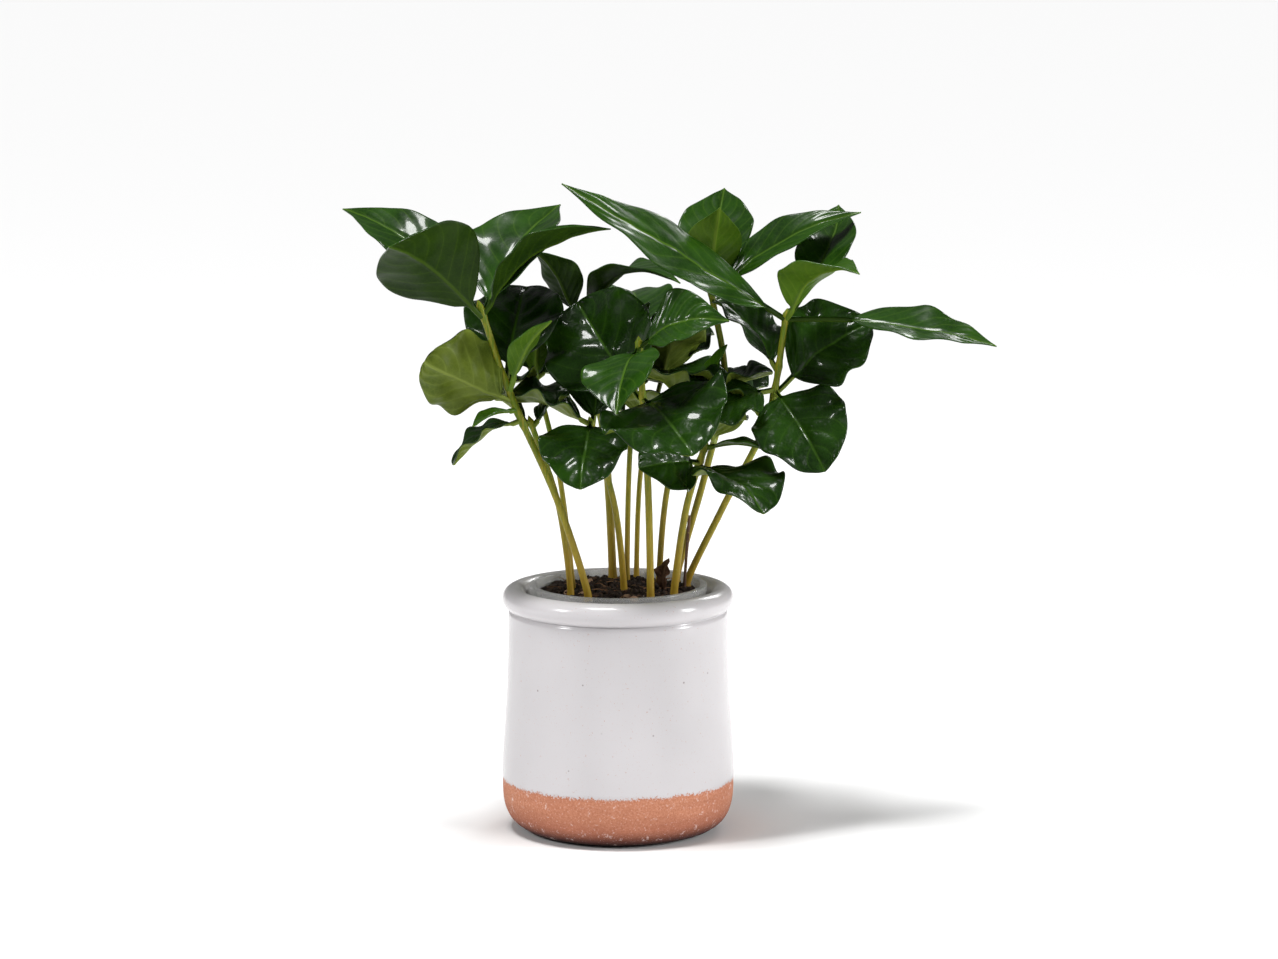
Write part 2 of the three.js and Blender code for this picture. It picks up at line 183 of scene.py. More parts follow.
outline = [(0, 0), (0.6 * BASE_RADIUS, 0), (BASE_RADIUS, 0)]
outline += bezier((BASE_RADIUS, 0), (BELLY_RADIUS, 0), (BELLY_RADIUS, CORNER_HEIGHT), steps=16)
outline += bezier((BELLY_RADIUS, CORNER_HEIGHT), (BELLY_RADIUS, belly_bend),
                  (NECK_RADIUS, neck_bend), (NECK_RADIUS, neck_height), steps=110)
outline.append((NECK_RADIUS - CREASE_DEPTH, neck_height + CREASE_HEIGHT))
for i in range(RIM_STEPS + 1):
    angle = math.radians(RIM_START + i * (RIM_END - RIM_START) / RIM_STEPS)
    outline.append((rim_centre + RIM_TUBE * math.cos(angle), rim_height + RIM_TUBE * math.sin(angle)))
inner_neck = NECK_RADIUS - POT_WALL
inner_belly = BELLY_RADIUS - POT_WALL
inner_corner = CORNER_HEIGHT - POT_WALL
outline += bezier(outline[-1], (inner_neck, rim_height - RIM_TUBE), (inner_neck, neck_height), steps=4)
outline += bezier((inner_neck, neck_height), (inner_neck, neck_bend), (inner_belly, belly_bend),
                  (inner_belly, POT_FLOOR + inner_corner), steps=12)
outline += bezier(outline[-1], (inner_belly, POT_FLOOR), (inner_belly - inner_corner, POT_FLOOR), steps=6)
outline.append((0, POT_FLOOR))
outer_pot = lathe("terracotta_pot", outline, 320)

# The glaze stands a little proud of the clay, and both keep the slight unevenness of the wheel.
glazed = outer_pot.data.attributes.new("glazed", "FLOAT", "POINT")
pushes = []
for vertex in outer_pot.data.vertices:
    x, y, z = vertex.co
    radius = math.hypot(x, y)
    if radius < 0.01 * MM:
        glazed.data[vertex.index].value = 1 if z > MM else 0
        continue
    wander = noise.fractal(Vector((x, y, 0)) * 120, 0.6, 2.1, 3) * GLAZE_RAGGED
    fringe = noise.noise(Vector((x, y, z)) * 700) * GLAZE_RAGGED
    above = (z - GLAZE_LINE - wander - fringe) / GLAZE_EDGE
    inside = radius < inner_belly + MM and z > POT_FLOOR - MM and z < rim_height and radius < rim_centre
    cover = 1 if inside else min(max(above + 0.5, 0), 1)
    glazed.data[vertex.index].value = cover
    if z > MM and not inside:
        ring = WHEEL_RINGS * noise.noise(Vector((x * 12, y * 12, z * 90)))
        grain = CLAY_GRAIN * noise.noise(vertex.co * 900) * (1 - cover)
        push = GLAZE_THICKNESS * (cover - 1) + ring + grain
        pushes.append((vertex, vertex.normal * push))
for vertex, push in pushes:
    vertex.co += push


def node(tree, kind, **sockets):
    """A shader node with its named inputs set, or linked where an output is given."""
    made = tree.nodes.new(kind)
    for key, value in sockets.items():
        if hasattr(made, key):
            setattr(made, key, value)
            continue
        socket = made.inputs[int(key[1:])] if key[0] == "i" and key[1:].isdigit() else made.inputs[key]
        if isinstance(value, bpy.types.NodeSocket):
            tree.links.new(value, socket)
        else:
            socket.default_value = value
    return made


def ramp(tree, source, stops):
    """A colour ramp through stops of place and colour."""
    made = tree.nodes.new("ShaderNodeValToRGB")
    bands = made.color_ramp.elements
    while len(bands) < len(stops):
        bands.new(0.5)
    for band, (place, colour) in zip(bands, stops):
        band.position = place
        band.color = (*colour, 1)
    tree.links.new(source, made.inputs["Fac"])
    return made.outputs["Color"]


def blend_colour(tree, amount, first, second, how="MIX"):
    mixed = tree.nodes.new("ShaderNodeMix")
    mixed.data_type = "RGBA"
    mixed.blend_type = how
    for socket, value in ((mixed.inputs[0], amount), (mixed.inputs[6], first), (mixed.inputs[7], second)):
        if isinstance(value, bpy.types.NodeSocket):
            tree.links.new(value, socket)
        else:
            socket.default_value = value if isinstance(value, float) else (*value, 1)
    return mixed.outputs[2]


def grey(level):
    return (level, level, level)


def remap(tree, value, low, high):
    """A value's share of the way from low to high, held between 0 and 1."""
    made = node(tree, "ShaderNodeMapRange", Value=value)
    made.inputs["From Min"].default_value = low
    made.inputs["From Max"].default_value = high
    return made.outputs[0]


def noise_on(tree, place, scale, detail=4.0, roughness=0.55):
    made = node(tree, "ShaderNodeTexNoise", Scale=scale, Detail=detail, Roughness=roughness)
    tree.links.new(place, made.inputs["Vector"])
    return made.outputs["Fac"]


def relief(tree, shader, height, depth, strength=0.6):
    bump = node(tree, "ShaderNodeBump", Strength=strength, Distance=depth, Height=height)
    tree.links.new(bump.outputs["Normal"], shader.inputs["Normal"])


pottery, tree, shader = new_material("glazed_terracotta")
place = node(tree, "ShaderNodeTexCoord").outputs["Object"]
glazed_share = node(tree, "ShaderNodeAttribute", attribute_name="glazed").outputs["Fac"]
speckle = noise_on(tree, place, 1500.0, 6.0, 0.75)
frayed = node(tree, "ShaderNodeMath", operation="MULTIPLY_ADD", i0=speckle, i1=FRAY, i2=glazed_share)
cover = remap(tree, frayed.outputs[0], FRAY_LOW, FRAY_HIGH)

# Bare clay: gritty, in faint bands from the wheel, darkened towards the foot with painted shade, and
# splashed with glaze.
grit = noise_on(tree, place, 1500.0, 5.0, 0.75)
clay = ramp(tree, grit, [(0.30, (0.41, 0.148, 0.076)), (0.50, (0.54, 0.225, 0.13)),
                         (0.72, (0.66, 0.31, 0.195))])
turned = node(tree, "ShaderNodeMapping", Vector=place, Scale=(1, 1, 5))
wheel_marks = noise_on(tree, turned.outputs[0], 40.0, 5.0, 0.6)
bands = ramp(tree, wheel_marks, [(0.35, (0.72, 0.62, 0.6)), (0.65, grey(1))])
clay = blend_colour(tree, 0.5, clay, bands, "MULTIPLY")
height = node(tree, "ShaderNodeSeparateXYZ", i0=place).outputs["Z"]
# Painted shade: the clay darkens to near black at the foot, standing in for the shadow where the pot meets
# the table.
painted_foot_shade = ramp(tree, remap(tree, height, 0, FOOT_SHADE_HEIGHT), [
    (0.04, (0.04, 0.025, 0.03)), (0.25, (0.26, 0.19, 0.20)), (0.55, (0.78, 0.70, 0.70)), (1, grey(1))])
clay = blend_colour(tree, 1.0, clay, painted_foot_shade, "MULTIPLY")
splash = noise_on(tree, place, 330.0, 6.0, 0.75)
flecks = ramp(tree, splash, [(0.60, grey(0)), (0.68, grey(0.75))])
clay = blend_colour(tree, flecks, clay, (0.80, 0.66, 0.62))

# Glaze: grey-white, with a few small brown pinholes, and shinier than the clay.
glaze_tone = noise_on(tree, place, 22.0, 3.0)
glaze = ramp(tree, glaze_tone, [(0.3, (0.55, 0.53, 0.543)), (0.7, (0.60, 0.578, 0.592))])
cells = node(tree, "ShaderNodeTexVoronoi", Scale=200.0, Vector=place)
spots = ramp(tree, cells.outputs["Distance"], [(0.04, (0.50, 0.45, 0.44)), (0.085, grey(1))])
chosen = ramp(tree, cells.outputs["Color"], [(0.60, grey(0)), (0.66, grey(1))])
pinholes = blend_colour(tree, chosen, grey(1), spots)
glaze = blend_colour(tree, 1.0, glaze, pinholes, "MULTIPLY")
tree.links.new(blend_colour(tree, cover, clay, glaze), shader.inputs["Base Color"])
tree.links.new(ramp(tree, cover, [(0, grey(0.95)), (1, grey(0.20))]), shader.inputs["Roughness"])
grain = noise_on(tree, place, 900.0, 6.0, 0.7)
orange_peel = noise_on(tree, place, 130.0, 2.0, 0.4)
relief(tree, shader, blend_colour(tree, cover, grain, orange_peel), 0.15 * MM, 0.35)
outer_pot.data.materials.append(pottery)
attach(outer_pot, "root")
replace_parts(outer_pot, "outer_pot")

# ---- Nursery pot ----------------------------------------------------------------------------------
# The thin clear plastic pot that the seedlings were sold in, moulded with a turned-out rim. It stands
# on the outer pot's floor, with its rim just above the outer rim.
nursery_low, nursery_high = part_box("nursery_pot")
PLASTIC_WALL = 0.9 * MM
LIP_OUT = 1.4 * MM
LIP_HEIGHT = 4 * MM
NURSERY_BASE_RADIUS = 22 * MM
LIP_ROUND = 0.45 * MM
FOOT_ROUND = 1 * MM
WALL_SPREAD = 0.1
lip_radius = nursery_high[0]
wall_radius = lip_radius - LIP_OUT
foot, rim_top = nursery_low[2], nursery_high[2]
lip_low = rim_top - LIP_HEIGHT


def rounded(corner, before, after, radius):
    """An arc-like corner between two directions, as a short Bezier."""
    start = tuple(Vector(corner) + Vector(before) * radius)
    end = tuple(Vector(corner) + Vector(after) * radius)
    return [start] + bezier(start, corner, end, steps=5)


outline = [(0, foot), (NURSERY_BASE_RADIUS - FOOT_ROUND, foot)]
outline += rounded((NURSERY_BASE_RADIUS, foot), (-1, 0), (WALL_SPREAD, 1), FOOT_ROUND)
outline.append((wall_radius, lip_low))
outline += rounded((lip_radius, lip_low), (-1, 0), (0, 1), LIP_ROUND)
outline += rounded((lip_radius, rim_top), (0, -1), (-1, 0), LIP_ROUND)
outline += rounded((wall_radius - PLASTIC_WALL, rim_top), (1, 0), (0, -1), LIP_ROUND)
outline.append((wall_radius - PLASTIC_WALL, lip_low))
outline += rounded((NURSERY_BASE_RADIUS - PLASTIC_WALL, foot + PLASTIC_WALL),
                   (WALL_SPREAD, 1), (-1, 0), FOOT_ROUND)
outline.append((0, foot + PLASTIC_WALL))
nursery_pot = lathe("nursery_pot_clear", outline, 160)
plastic, tree, shader = new_material("clear_plastic")
place = node(tree, "ShaderNodeTexCoord").outputs["Object"]
scuffs = noise_on(tree, place, 260.0, 6.0, 0.65)
tint = ramp(tree, scuffs, [(0.35, (0.84, 0.85, 0.84)), (0.7, grey(0.95))])
tree.links.new(tint, shader.inputs["Base Color"])
tree.links.new(ramp(tree, scuffs, [(0.4, grey(0.16)), (0.75, grey(0.30))]), shader.inputs["Roughness"])
shader.inputs["IOR"].default_value = 1.49
shader.inputs["Transmission Weight"].default_value = 0.5
shader.inputs["Alpha"].default_value = 0.5
relief(tree, shader, scuffs, 0.03 * MM, 0.12)
nursery_pot.data.materials.append(plastic)
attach(nursery_pot, "root")
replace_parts(nursery_pot, "nursery_pot")

# ---- Potting soil ---------------------------------------------------------------------------------
# Dark peat pressed into the nursery pot, with a rough, slightly mounded top. Loose crumbs, bark
# chips, empty seed husks, small grains of perlite and dry root fibres lie on it.
soil_low, soil_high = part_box("potting_soil")
soil_top = soil_high[2]
soil_radius = soil_high[0]
SOIL_RINGS = 46
SOIL_FOOT_GAP = 1.3 * MM
SOIL_SHOULDER = 1.2 * MM
SOIL_LUMPS = 1.1 * MM
SOIL_MOUND = 0.8 * MM
SOIL_SETTLED = 0.3 * MM
outline = [(0, soil_low[2]), (NURSERY_BASE_RADIUS - SOIL_FOOT_GAP, soil_low[2]), (soil_radius, lip_low)]
outline.append((soil_radius, soil_top - SOIL_SHOULDER))
outline += [(soil_radius * (1 - i / SOIL_RINGS), soil_top) for i in range(1, SOIL_RINGS)]
outline.append((0, soil_top))
soil = lathe("potting_soil_rough", outline, 200)


def soil_height(x, y):
    """How far the rough top stands above its level."""
    spot = Vector((x, y, 0))
    lumps = SOIL_LUMPS * noise.fractal(spot * 160, 0.8, 2.2, 5)
    mound = SOIL_MOUND * (1 - (math.hypot(x, y) / soil_radius) ** 2)
    return lumps + mound - SOIL_SETTLED


for vertex in soil.data.vertices:
    if vertex.co.z > soil_top - 0.1 * MM:
        vertex.co.z += soil_height(vertex.co.x, vertex.co.y)


def earth(name, dark, light, scale):
    """A dry, crumbly finish from a dark tone to a light one."""
    material, tree, shader = new_material(name)
    place = node(tree, "ShaderNodeTexCoord").outputs["Object"]
    tone = noise_on(tree, place, scale, 8.0, 0.7)
    tree.links.new(ramp(tree, tone, [(0.35, dark), (0.68, light)]), shader.inputs["Base Color"])
    shader.inputs["Roughness"].default_value = 0.9
    shader.inputs["Specular IOR Level"].default_value = 0.25
    relief(tree, shader, tone, 0.4 * MM, 0.8)
    return material


peat = earth("peat", (0.006, 0.004, 0.003), (0.042, 0.024, 0.016), 700.0)
soil.data.materials.append(peat)
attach(soil, "root")
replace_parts(soil, "potting_soil")

chance = random.Random(7)


def scatter(name, seed_piece, count, sizes, flatten, finish, margin):
    """Copies of one rough grain, each turned, sized and laid on the soil, joined as one piece. Sizes
    and the margin from the soil's edge are millimetres, and flatten is a grain's height in its sizes."""
    reach = soil_radius - margin * MM
    copies = []
    for _ in range(count):
        angle = chance.uniform(0, 2 * math.pi)
        radius = reach * math.sqrt(chance.random())
        x, y = radius * math.cos(angle), radius * math.sin(angle)
        size = chance.uniform(*sizes) * MM
        grain = seed_piece.copy()
        grain.data = seed_piece.data.copy()
        for vertex in grain.data.vertices:
            vertex.co *= 1 + 0.35 * noise.noise(vertex.co * 2 + Vector((angle * 9, radius * 900, 0)))
        spin = Matrix.Rotation(chance.uniform(0, 6.28), 4, "Z")
        turn = spin @ Matrix.Rotation(chance.uniform(-0.5, 0.5), 4, "X")
        shape = Matrix.Diagonal((size, size * chance.uniform(0.5, 1), size * flatten, 1))
        lift = Vector((x, y, soil_top + soil_height(x, y) + 0.25 * size * flatten))
        grain.data.transform(Matrix.Translation(lift) @ turn @ shape)
        bpy.context.collection.objects.link(grain)
        copies.append(grain)
    bpy.ops.object.select_all(action="DESELECT")
    for grain in copies:
        grain.select_set(True)
    bpy.context.view_layer.objects.active = copies[0]
    bpy.ops.object.join()
    heap = bpy.context.object
    heap.name = name
    heap.data.materials.clear()
    heap.data.materials.append(finish)
    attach(heap, "root")


bpy.ops.object.select_all(action="DESELECT")
bpy.ops.mesh.primitive_ico_sphere_add(subdivisions=2, radius=1)
round_grain = bpy.context.object
bpy.ops.mesh.primitive_ico_sphere_add(subdivisions=1, radius=1)
sharp_grain = bpy.context.object
bark = earth("bark", (0.022, 0.011, 0.007), (0.12, 0.062, 0.035), 500.0)
perlite = earth("perlite", (0.42, 0.36, 0.30), (0.66, 0.60, 0.52), 900.0)
husk = earth("seed_husk", (0.20, 0.11, 0.065), (0.40, 0.26, 0.17), 600.0)
scatter("peat_crumbs", sharp_grain, count=1000, sizes=(0.35, 1.5), flatten=0.85, finish=peat, margin=1.6)
scatter("bark_crumbs", sharp_grain, count=260, sizes=(0.3, 0.9), flatten=0.6, finish=bark, margin=1.4)
scatter("bark_chips", round_grain, count=36, sizes=(0.9, 2.4), flatten=0.4, finish=bark, margin=3.5)
scatter("seed_husks", round_grain, count=5, sizes=(1.2, 1.9), flatten=0.8, finish=husk, margin=6)
scatter("perlite_grains", round_grain, count=36, sizes=(0.25, 0.6), flatten=0.8, finish=perlite, margin=2)
for grain in (round_grain, sharp_grain):
    bpy.data.objects.remove(grain)


def fibre(name, points, radius, finish):
    """A thin bent strand through its points, as a round tube that thins towards one end."""
    curve = bpy.data.curves.new(name, "CURVE")
    curve.dimensions = "3D"
    curve.bevel_depth = radius
    curve.bevel_resolution = 2
    curve.resolution_u = 6
    curve.use_fill_caps = True
    spline = curve.splines.new("BEZIER")
    spline.bezier_points.add(len(points) - 1)
    for i, (point, place) in enumerate(zip(spline.bezier_points, points)):
        point.co = place
        point.handle_left_type = point.handle_right_type = "AUTO"
        point.radius = 1 - 0.5 * i / (len(points) - 1)
    strand = bpy.data.objects.new(name, curve)
    bpy.context.collection.objects.link(strand)
    bpy.ops.object.select_all(action="DESELECT")
    strand.select_set(True)
    bpy.context.view_layer.objects.active = strand
    bpy.ops.object.convert(target="MESH")
    strand = bpy.context.object
    bpy.ops.object.shade_smooth()
    strand.data.materials.append(finish)
    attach(strand, "root")


FIBRE_COUNT = 22
FIBRE_SPREAD = 17
FIBRE_STEPS = 4
FIBRE_STEP = 2.4 * MM
FIBRE_ARCH = 0.9 * MM
FIBRE_LIFT = 0.3 * MM
root_skin = earth("root_skin", (0.10, 0.045, 0.02), (0.30, 0.17, 0.085), 400.0)
for i in range(FIBRE_COUNT):
    x = chance.uniform(-FIBRE_SPREAD, FIBRE_SPREAD) * MM
    y = chance.uniform(-FIBRE_SPREAD, FIBRE_SPREAD) * MM
    heading = chance.uniform(0, 6.28)
    route = []
    for step in range(FIBRE_STEPS + 1):
        heading += chance.uniform(-0.7, 0.7)
        x += FIBRE_STEP * math.cos(heading)
        y += FIBRE_STEP * math.sin(heading)
        hop = FIBRE_ARCH * math.sin(math.pi * step / FIBRE_STEPS)
        route.append((x, y, soil_top + soil_height(x, y) + hop + FIBRE_LIFT))
    fibre("root_fibre_" + str(i), route, chance.uniform(0.12, 0.3) * MM, root_skin)

# ---- Seedlings: where each one stands -------------------------------------------------------------
# Twelve coffee seedlings were sown together in the one pot. Each has one thin stem and, by age, round
# seed leaves, true leaves with drawn-out tips and narrow young ones.

# A root is in shares of the planting radius, and thick is a share of the stem thickness. A path and at,
# the height where a leaf grows, are millimetres over the soil, and so are a leaf's length and width.
# Heading, rise, roll and fold are degrees; petiole, arch and sway are shares of the leaf's length.
SEEDLINGS = [
    dict(name="far_left", thick=1.05, root=(-0.4, -0.8),
        path=[(-20, -25, 35), (-35, -28, 70), (-45, -30, 100)],
        leaves=[
            dict(name="seed_leaf_left", kind="seed", at=69, heading=200, rise=26, length=31, width=32,
                 petiole=0.08, fold=12, arch=-0.04, roll=60),
            dict(name="seed_leaf_back", kind="seed", at=75, heading=78, rise=44, length=40, width=34,
                 petiole=0.14),
            dict(name="low_leaf_left", kind="seed", at=61, heading=190, rise=-32, length=25, width=18),
            dict(name="young_leaf_right", kind="young", at=73, heading=-40, rise=53, length=29, width=13,
                 petiole=0.12),
            dict(name="young_leaf_left", kind="young", at=65, heading=220, rise=-12, length=17, width=8),
            dict(name="top_leaf_front", kind="true", at=97, heading=232, rise=30, length=51, width=36,
                 arch=0.14, roll=42),
            dict(name="top_leaf_left", kind="true", at=98, heading=148, rise=30, length=62, width=22,
                 arch=0.14, roll=-30),
            dict(name="top_leaf_back", kind="true", at=98, heading=54, rise=38, length=52, width=34),
            dict(name="top_leaf_right", kind="true", at=98, heading=-6, rise=34, length=49, width=22,
                 fold=25, arch=0.15),
        ]),
    dict(name="left_front", thick=0.95, root=(-0.64, -0.38),
        path=[(-20, -12, 32), (-29, -15, 60)],
        leaves=[
            dict(name="seed_leaf_right", kind="seed", at=59, heading=20, rise=40, length=15, width=14,
                 roll=0),
            dict(name="seed_leaf_back", kind="seed", at=59, heading=172, rise=40, length=20, width=16),
        ]),
    dict(name="left_rear", thick=0.85, root=(-0.62, 0),
        path=[(-20, 5, 40), (-28, 8, 73)],
        leaves=[
            dict(name="seed_leaf_back", kind="seed", at=72, heading=125, rise=38, length=36, width=33),
            dict(name="seed_leaf_right", kind="seed", at=72, heading=10, rise=28, length=24, width=20,
                 roll=20),
        ]),
    dict(name="rear_left", thick=1.25, root=(-0.08, 0.9),
        path=[(-5, 25, 50), (-13, 20, 93)],
        leaves=[
            dict(name="top_leaf_left", kind="true", at=92, heading=190, rise=58, length=25, width=18,
                 roll=40),
            dict(name="top_leaf_right", kind="true", at=92, heading=-33, rise=18, length=40, width=26,
                 arch=0.22),
            dict(name="seed_leaf_back", kind="seed", at=58, heading=120, rise=25, length=40, width=36),
        ]),
    dict(name="mid_left", thick=1, root=(0.08, -0.2),
        path=[(-1, -9, 30), (-9, -17, 60)],
        leaves=[
            dict(name="seed_leaf_front", kind="seed", at=59, heading=-98, rise=-38, length=29, width=30),
            dict(name="seed_leaf_back", kind="seed", at=59, heading=72, rise=55, length=38, width=25),
        ]),
    dict(name="rear_mid", thick=0.85, root=(0.12, 0.55),
        path=[(4, 18, 45), (8, 20, 87)],
        leaves=[
            dict(name="top_leaf_front", kind="true", at=86, heading=225, rise=35, length=22, width=18),
            dict(name="top_leaf_right", kind="true", at=86, heading=-15, rise=22, length=24, width=16),
            dict(name="top_leaf_back", kind="true", at=86, heading=95, rise=12, length=42, width=26),
        ]),
    dict(name="rear_right", thick=0.8, root=(0.25, 0.94),
        path=[(8, 25, 40), (15, 20, 71)],
        leaves=[
            dict(name="seed_leaf_front", kind="seed", at=70, heading=-75, rise=48, length=27, width=28),
        ]),
    dict(name="centre_front", thick=1.1, root=(0.44, -0.8),
        path=[(10, -23, 40), (7, -29, 88)],
        leaves=[
            dict(name="seed_leaf_front", kind="seed", at=68, heading=-65, rise=-20, length=38, width=44,
                 roll=20),
            dict(name="seed_leaf_back", kind="seed", at=69, heading=130, rise=42, length=43, width=40,
                 roll=-52),
            dict(name="top_leaf_right", kind="true", at=87, heading=-22, rise=17, length=31, width=24,
                 arch=0.2, roll=45),
            dict(name="top_leaf_left", kind="true", at=85, heading=255, rise=-33, length=32, width=29,
                 roll=15),
        ]),
    dict(name="centre", thick=0.95, root=(0.56, 0.36),
        path=[(18, 6, 40), (31, 0, 67)],
        leaves=[
            dict(name="young_leaf_up", kind="young", at=66, heading=20, rise=75, length=18, width=12),
        ]),
    dict(name="right_front", thick=1.1, root=(0.76, -0.48),
        path=[(23, -17, 32), (29, -22, 53)],
        leaves=[
            dict(name="seed_leaf_left", kind="seed", at=47, heading=224, rise=2, length=26, width=24,
                 petiole=0.14, roll=-60),
            dict(name="seed_leaf_right", kind="seed", at=45, heading=-50, rise=-20, length=33, width=34),
            dict(name="young_leaf_left", kind="young", at=53, heading=190, rise=28, length=12, width=7),
            dict(name="young_leaf_right", kind="young", at=52, heading=-18, rise=0, length=20, width=9),
        ]),
    dict(name="right_rear", thick=1.05, root=(0.8, 0.58),
        path=[(30, 12, 40), (36, 7, 70), (31, 5, 102)],
        leaves=[
            dict(name="top_leaf_right", kind="true", at=101, heading=-3, rise=29, length=55, width=17,
                 roll=35),
            dict(name="top_leaf_back", kind="true", at=101, heading=80, rise=50, length=42, width=26,
                 petiole=0.12),
            dict(name="top_leaf_front", kind="true", at=101, heading=-80, rise=66, length=32, width=20),
            dict(name="seed_leaf_back", kind="seed", at=56, heading=88, rise=18, length=38, width=34),
        ]),
    dict(name="far_right", thick=1.05, root=(0.94, 0.2),
        path=[(35, 0, 28), (50, -7, 60), (56, -9, 95)],
        leaves=[
            dict(name="seed_leaf_front", kind="seed", at=68, heading=-56, rise=-40, length=35, width=33,
                 roll=30),
            dict(name="seed_leaf_left", kind="seed", at=69, heading=208, rise=-18, length=33, width=31,
                 petiole=0.12, roll=-22),
            dict(name="low_leaf_right", kind="seed", at=69.5, heading=4, rise=37, length=37, width=35,
                 roll=50, petiole=0.16),
            dict(name="low_leaf_back", kind="seed", at=77, heading=143, rise=42, length=32, width=24),
            dict(name="top_leaf_right", kind="true", at=93, heading=-12, rise=-6, length=69, width=22,
                 petiole=0.28, arch=0.05, roll=20, fold=4),
            dict(name="top_leaf_left", kind="true", at=94, heading=201, rise=31, length=90, width=27,
                 arch=0.01, roll=-38, fold=0, cup=0),
            dict(name="top_leaf_front", kind="true", at=94, heading=-52, rise=26, length=39, width=26,
                 arch=0.2),
            dict(name="top_leaf_back", kind="true", at=94, heading=58, rise=46, length=48, width=22,
                 petiole=0.2, sway=-0.14),
        ]),
]
PLANTING_RADIUS = 24.8
ROOT_DEPTH = 12
STEM_COLLAR = 2
STEM_THICKNESS = 2.5
STEM_TAPER = 0.8


def stem_route(seedling):
    """The centre line's own points in metres, from the root's end up."""
    x, y = (share * PLANTING_RADIUS for share in seedling["root"])
    points = [(x, y, height) for height in (-ROOT_DEPTH, 0, STEM_COLLAR)] + seedling["path"]
    return [Vector((px, py, 0)) * MM + Vector((0, 0, soil_top + height * MM)) for px, py, height in points]


def along(points, share):
    """A place on the smooth curve that runs through all the points."""
    place = share * (len(points) - 1)
    i = min(int(place), len(points) - 2)
    t = place - i
    here, ahead = points[i], points[i + 1]
    before = points[i - 1] if i else 2 * here - ahead
    after = points[i + 2] if i + 2 < len(points) else 2 * ahead - here
    span0, span1, span2 = (math.sqrt((b - a).length) for a, b in
                           ((before, here), (here, ahead), (ahead, after)))
    leave = ((here - before) / span0 - (ahead - before) / (span0 + span1) + (ahead - here) / span1) * span1
    arrive = ((ahead - here) / span1 - (after - here) / (span1 + span2) + (after - ahead) / span2) * span1
    return (here * (2 * t ** 3 - 3 * t ** 2 + 1) + leave * (t ** 3 - 2 * t ** 2 + t)
            + ahead * (3 * t ** 2 - 2 * t ** 3) + arrive * (t ** 3 - t ** 2))


def share_at(points, height):
    """How far along the curve it reaches a height above the soil."""
    low, high = 0.0, 1.0
    for _ in range(30):
        middle = (low + high) / 2
        if along(points, middle).z < soil_top + height * MM:
            low = middle
        else:
            high = middle
    return low


def stem_radius(seedling, share):
    return seedling["thick"] * STEM_THICKNESS * (1 + (STEM_TAPER - 1) * share) / 2 * MM


# ---- Stems ----------------------------------------------------------------------------------------
# Smooth round green wood, browner towards the soil, a little thicker at each joint where leaves grow,
# and ending in a small pointed bud.
STEM_RINGS = 90
STEM_RIPPLE = 0.05
JOINT_SWELL = 0.28
JOINT_REACH = 1.5
FOOT_FLARE = 0.16
FOOT_REACH = 2.5
# The bud over a stem's end: millimetres up and shares of its thickness.
BUD = ((0.5, 0.85), (1.0, 0.6), (1.5, 0.35), (1.9, 0.08))
BROWN_HEIGHT = 75 * MM


def rod(name, places, radii, sides=14):
    """A round rod through its places, closed at both ends, with a radius of its own at each."""
    bpy.ops.object.select_all(action="DESELECT")
    curve = bpy.data.curves.new(name, "CURVE")
    curve.dimensions = "3D"
    curve.bevel_depth = 1
    curve.bevel_resolution = sides // 2 - 2
    curve.use_fill_caps = True
    spline = curve.splines.new("POLY")
    spline.points.add(len(places) - 1)
    for point, place, radius in zip(spline.points, places, radii):
        point.co = (*place, 1)
        point.radius = radius
    bar = bpy.data.objects.new(name, curve)
    bpy.context.collection.objects.link(bar)
    bar.select_set(True)
    bpy.context.view_layer.objects.active = bar
    bpy.ops.object.convert(target="MESH")
    bar = bpy.context.object
    bpy.ops.object.mode_set(mode="EDIT")
    bpy.ops.mesh.select_all(action="SELECT")
    bpy.ops.mesh.remove_doubles(threshold=1e-7)
    bpy.ops.mesh.normals_make_consistent(inside=False)
    bpy.ops.object.mode_set(mode="OBJECT")
    bpy.ops.object.shade_smooth()
    return bar


def stem_finish(name, low, high, streak, roughness):
    """Woody skin: its colour changes from low to high up the stem, with fine lengthwise streaks and
    pale pores."""
    material, tree, shader = new_material(name)
    place = node(tree, "ShaderNodeTexCoord").outputs["Object"]
    height = node(tree, "ShaderNodeSeparateXYZ", i0=place).outputs["Z"]
    rise = remap(tree, height, soil_top, soil_top + BROWN_HEIGHT)
    mottle = noise_on(tree, place, 90.0, 3.0)
    level = node(tree, "ShaderNodeMath", operation="MULTIPLY_ADD", i0=mottle, i1=0.5, i2=rise)
    halfway = tuple((a + b) / 2 for a, b in zip(low, high))
    shade = ramp(tree, level.outputs[0], [(0.22, low), (0.55, halfway), (1.0, high)])
    stretched = node(tree, "ShaderNodeMapping", Vector=place, Scale=(1, 1, 0.08))
    grain = noise_on(tree, stretched.outputs[0], 1600.0, 4.0, 0.65)
    lines = ramp(tree, grain, [(0.42, grey(0)), (0.62, grey(1))])
    shade = blend_colour(tree, blend_colour(tree, 0.55, grey(0), lines), shade, streak)
    pores = node(tree, "ShaderNodeTexVoronoi", Scale=520.0, Vector=place).outputs["Distance"]
    specks = ramp(tree, pores, [(0.10, grey(0.5)), (0.17, grey(0))])
    shade = blend_colour(tree, specks, shade, (0.34, 0.27, 0.06))
    tree.links.new(shade, shader.inputs["Base Color"])
    shader.inputs["Roughness"].default_value = roughness
    shader.inputs["Specular IOR Level"].default_value = 0.25
    relief(tree, shader, grain, 0.12 * MM, 0.5)
    return material


